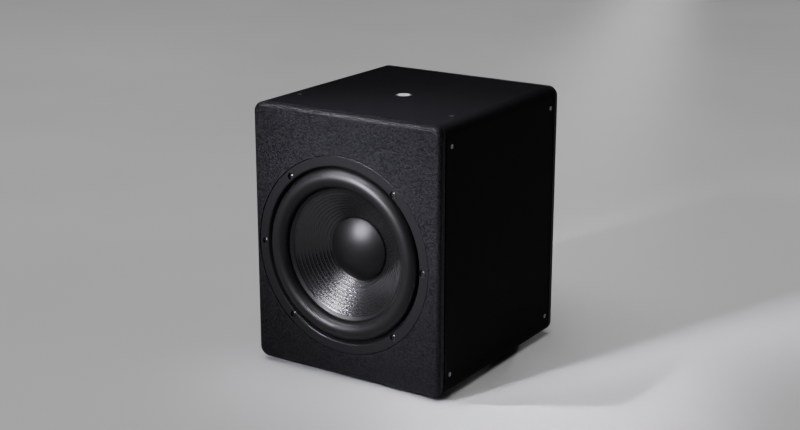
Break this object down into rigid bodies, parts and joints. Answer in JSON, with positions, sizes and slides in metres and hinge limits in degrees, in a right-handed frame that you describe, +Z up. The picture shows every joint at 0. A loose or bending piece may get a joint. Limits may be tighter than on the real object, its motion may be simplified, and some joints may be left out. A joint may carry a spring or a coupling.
{
  "type": "powered subwoofer",
  "caption": "Near-cubic black powered subwoofer with a front-facing long-throw driver, wrapped cabinet, rear amplifier plate, rubber feet and a polished disc on top.",
  "frame": {"origin": "on the floor, under the middle of the object's bounding box, at the feet's undersides", "axes": "+Z up; the driver faces -Y; +X to the right as seen from the front"},
  "size_m": [0.29, 0.317, 0.3624],
  "materials": {
    "textured_black": "fine-grained textured black paint over fibreboard",
    "satin_steel": "smooth satin black powder coat",
    "board": "bare medium-density fibreboard",
    "wadding": "white polyester wadding",
    "polished": "polished, unmarked",
    "rubber": "satin black rubber",
    "black_screw": "black oxide steel, slightly bright on the head",
    "cast_black": "satin black painted casting",
    "cone_black": "black moulded cone, semi-gloss, fine concentric ribs",
    "copper": "bare copper",
    "kapton": "amber film former",
    "cloth": "resin-stiffened woven cloth",
    "zinc": "zinc-plated steel",
    "ferrite": "bare dark grey ferrite",
    "circuit": "green laminate",
    "plastic": "fine satin black moulding",
    "anodised": "black anodised",
    "winding_tape": "yellow winding tape over copper and core"
  },
  "bodies": {
    "cabinet": {"front_baffle": "textured_black", "rear_panel": "textured_black", "cabinet_sleeve": "satin_steel", "top_board": "board", "bottom_board": "board", "side_board_left": "board", "side_board_right": "board", "damping_wadding": "wadding", "badge_disc": "polished", "foot_front_left": "rubber", "foot_front_right": "rubber", "foot_rear_left": "rubber", "foot_rear_right": "rubber", "basket": "cast_black", "basket_gasket": "rubber", "surround": "rubber", "spider": "cloth", "top_plate": "zinc", "magnet": "ferrite", "yoke": "zinc", "magnet_cover": "rubber", "terminal_strip": "plastic", "lead_positive": "copper", "lead_negative": "copper", "amp_plate": "satin_steel", "amp_cover": "zinc", "amp_board": "circuit", "reservoir_capacitor": "plastic", "transformer": "winding_tape", "heat_sink": "anodised", "level_pot": "zinc", "crossover_pot": "zinc", "power_switch": "plastic", "mains_inlet": "plastic", "xlr_input": "anodised", "xlr_output": "anodised", "sleeve_screw_left_front_lower": "black_screw", "sleeve_screw_left_front_upper": "black_screw", "sleeve_screw_left_rear_lower": "black_screw", "sleeve_screw_left_rear_upper": "black_screw", "sleeve_screw_top_left": "black_screw", "sleeve_screw_right_front_lower": "black_screw", "sleeve_screw_right_front_upper": "black_screw", "sleeve_screw_right_rear_lower": "black_screw", "sleeve_screw_right_rear_upper": "black_screw", "sleeve_screw_top_right": "black_screw", "driver_screw_1": "black_screw", "driver_screw_2": "black_screw", "driver_screw_3": "black_screw", "driver_screw_4": "black_screw", "driver_screw_5": "black_screw", "driver_screw_6": "black_screw"},
    "cone_assembly": {"cone": "cone_black", "dust_cap": "cone_black", "coil_former": "kapton", "coil_winding": "copper"},
    "level_control": {"level_knob": "plastic"},
    "crossover_control": {"crossover_knob": "plastic"},
    "power_rocker": {"power_rocker": "plastic"},
    "phase_switch": {"phase_slider": "plastic"}
  },
  "joints": [
    {"name": "cone_excursion", "type": "slide", "parent": "cabinet", "child": "cone_assembly", "axis": [0, -1, 0], "range_m": [-0.008, 0.008], "stiffness_N_per_m": 2500, "deforming": ["surround", "spider", "lead_positive", "lead_negative"]},
    {"name": "level_turn", "type": "hinge", "parent": "cabinet", "child": "level_control", "pos_m": [0.06, 0.1535, 0.19], "axis": [0, 1, 0], "range_deg": [-140, 140]},
    {"name": "crossover_turn", "type": "hinge", "parent": "cabinet", "child": "crossover_control", "pos_m": [0.015, 0.1535, 0.19], "axis": [0, 1, 0], "range_deg": [-140, 140]},
    {"name": "power_rock", "type": "hinge", "parent": "cabinet", "child": "power_rocker", "pos_m": [-0.01, 0.1461, 0.08], "axis": [1, 0, 0], "range_deg": [0, 16]},
    {"name": "phase_slide", "type": "slide", "parent": "cabinet", "child": "phase_switch", "axis": [1, 0, 0], "range_m": [0, 0.004]}
  ]
}
